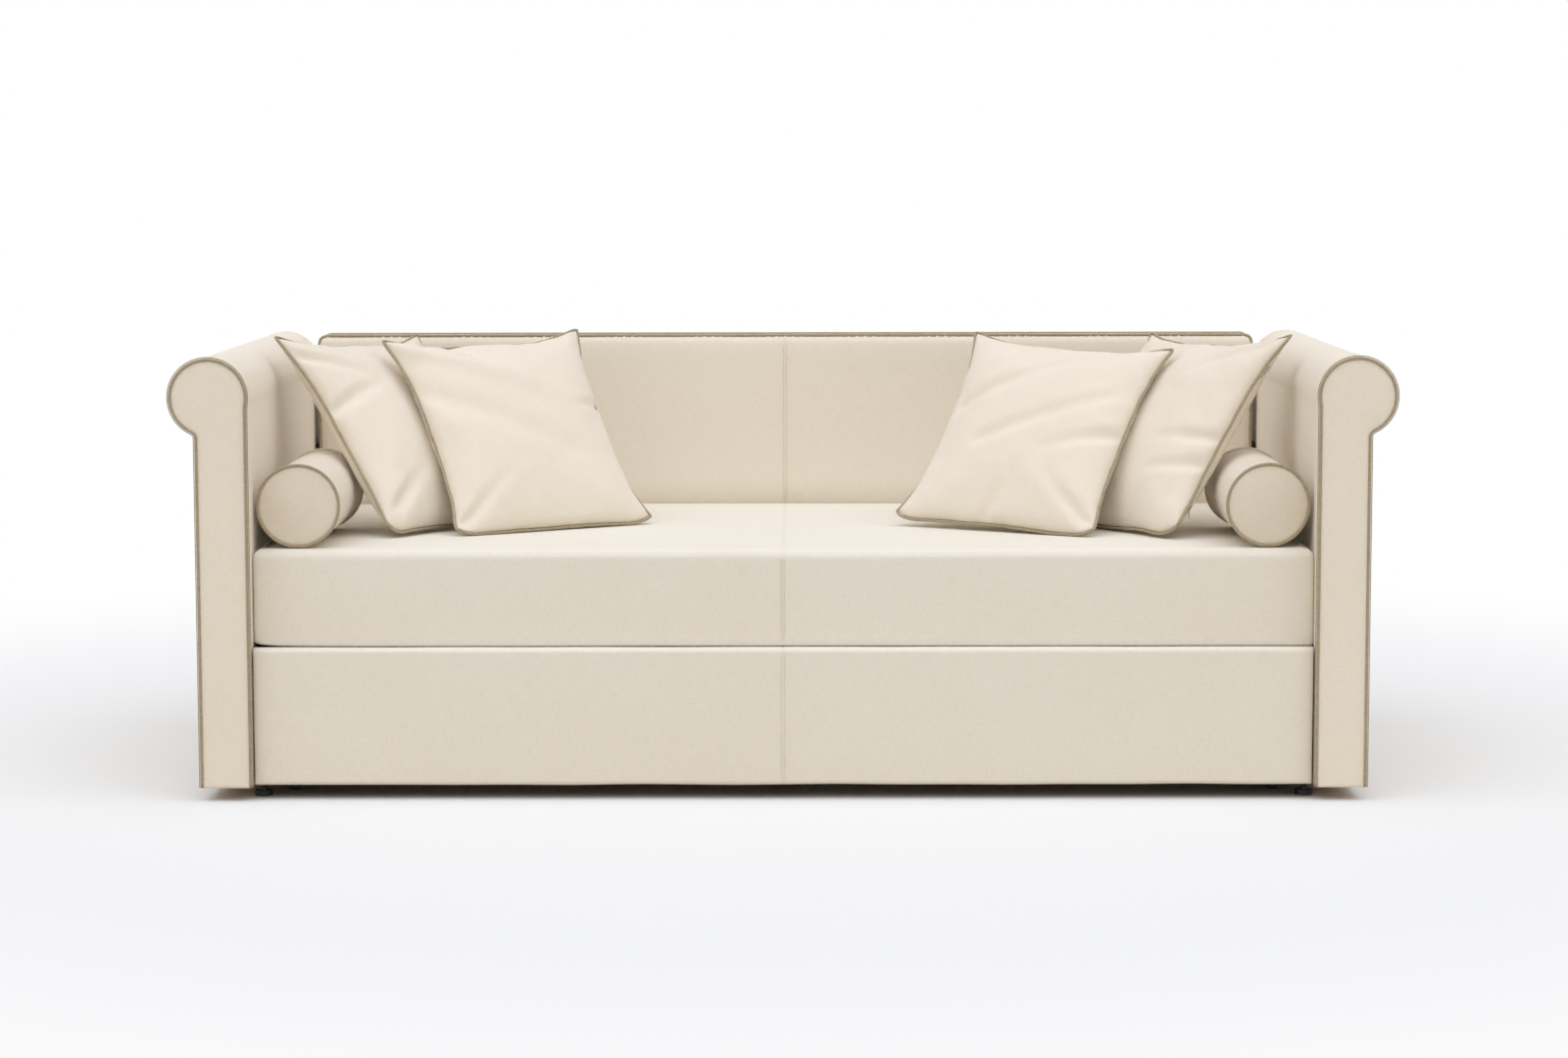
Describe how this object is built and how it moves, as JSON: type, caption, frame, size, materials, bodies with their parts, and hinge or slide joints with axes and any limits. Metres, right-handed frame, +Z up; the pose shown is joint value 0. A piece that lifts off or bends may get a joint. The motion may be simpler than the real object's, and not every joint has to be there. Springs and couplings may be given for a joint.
{
  "type": "daybed sofa with pull-out bed",
  "caption": "Upholstered daybed sofa with outward scroll arms, a low padded back, a boxed mattress seat, loose cushions and bolsters, and a second bed on castors that pulls out from below.",
  "frame": {"origin": "on the floor, under the middle of the whole sofa", "axes": "+X along the sofa to the right seen from the front, +Y towards the back, +Z up"},
  "size_m": [2.2944, 1.0364, 0.8553],
  "materials": {
    "upholstery_cloth": "woven, matt",
    "mattress_cloth": "woven, matt",
    "cushion_cloth": "woven, matt",
    "bolster_cloth": "woven, matt",
    "taupe_piping": "woven, matt",
    "foam": "open foam",
    "frame_timber": "sawn softwood",
    "slat_birch": "planed",
    "black_plastic": "moulded",
    "buffer_rubber": "moulded",
    "castor_rubber": "moulded",
    "zinc_steel": "zinc plated",
    "frame_steel": "powder coated"
  },
  "bodies": {
    "sofa": {"left_arm_frame": "frame_timber", "left_arm_padding": "foam", "left_arm_cover": "upholstery_cloth", "left_arm_piping": "taupe_piping", "right_arm_frame": "frame_timber", "right_arm_padding": "foam", "right_arm_cover": "upholstery_cloth", "right_arm_piping": "taupe_piping", "back_frame": "frame_timber", "back_padding": "foam", "back_cover": "upholstery_cloth", "back_piping": "taupe_piping", "back_spacers": "frame_timber", "base_front_rail": "frame_steel", "base_rear_rail": "frame_steel", "base_end_rails": "frame_steel", "base_corner_angles": "frame_steel", "upper_slats": "slat_birch", "upper_slat_holders": "black_plastic", "frame_bolts": "zinc_steel", "stop_buffers": "buffer_rubber", "foot_brackets": "frame_steel", "foot_stems": "zinc_steel", "foot_pads": "black_plastic", "foot_screws": "zinc_steel", "upper_mattress_core": "foam", "upper_mattress_cover": "mattress_cloth", "cushion_rear_left_cover": "cushion_cloth", "cushion_rear_left_piping": "taupe_piping", "cushion_front_left_cover": "cushion_cloth", "cushion_front_left_piping": "taupe_piping", "cushion_rear_right_cover": "cushion_cloth", "cushion_rear_right_piping": "taupe_piping", "cushion_front_right_cover": "cushion_cloth", "cushion_front_right_piping": "taupe_piping", "cushion_fillings": "foam", "bolster_left_cover": "bolster_cloth", "bolster_left_core": "foam", "bolster_left_piping": "taupe_piping", "bolster_right_cover": "bolster_cloth", "bolster_right_core": "foam", "bolster_right_piping": "taupe_piping"},
    "trundle": {"drawer_cover": "upholstery_cloth", "drawer_padding": "foam", "drawer_board": "frame_timber", "drawer_screws": "zinc_steel", "lower_front_rail": "frame_steel", "lower_rear_rail": "frame_steel", "lower_end_rails": "frame_steel", "lower_slats": "slat_birch", "lower_slat_holders": "black_plastic", "lower_mattress_core": "foam", "lower_mattress_cover": "mattress_cloth", "castor_brackets": "frame_steel", "castor_axles": "zinc_steel"},
    "castor_front_left": {"castor_wheel_front_left": "castor_rubber"},
    "castor_front_right": {"castor_wheel_front_right": "castor_rubber"},
    "castor_rear_left": {"castor_wheel_rear_left": "castor_rubber"},
    "castor_rear_right": {"castor_wheel_rear_right": "castor_rubber"}
  },
  "joints": [
    {"name": "trundle_slide", "type": "slide", "parent": "sofa", "child": "trundle", "axis": [0, -1, 0], "range_m": [0, 0.79]},
    {"name": "castor_roll_front_left", "type": "hinge", "parent": "trundle", "child": "castor_front_left", "pos_m": [-0.9375, -0.38, 0.025], "axis": [1, 0, 0], "range_deg": [0, 1815]},
    {"name": "castor_roll_front_right", "type": "hinge", "parent": "trundle", "child": "castor_front_right", "pos_m": [0.9375, -0.38, 0.025], "axis": [1, 0, 0], "range_deg": [0, 1815]},
    {"name": "castor_roll_rear_left", "type": "hinge", "parent": "trundle", "child": "castor_rear_left", "pos_m": [-0.9375, 0.294, 0.025], "axis": [1, 0, 0], "range_deg": [0, 1815]},
    {"name": "castor_roll_rear_right", "type": "hinge", "parent": "trundle", "child": "castor_rear_right", "pos_m": [0.9375, 0.294, 0.025], "axis": [1, 0, 0], "range_deg": [0, 1815]}
  ],
  "couplings": [
    {"joint": "castor_roll_front_left", "follows": "trundle_slide", "rad_per_m": 40},
    {"joint": "castor_roll_front_right", "follows": "trundle_slide", "rad_per_m": 40},
    {"joint": "castor_roll_rear_left", "follows": "trundle_slide", "rad_per_m": 40},
    {"joint": "castor_roll_rear_right", "follows": "trundle_slide", "rad_per_m": 40}
  ]
}
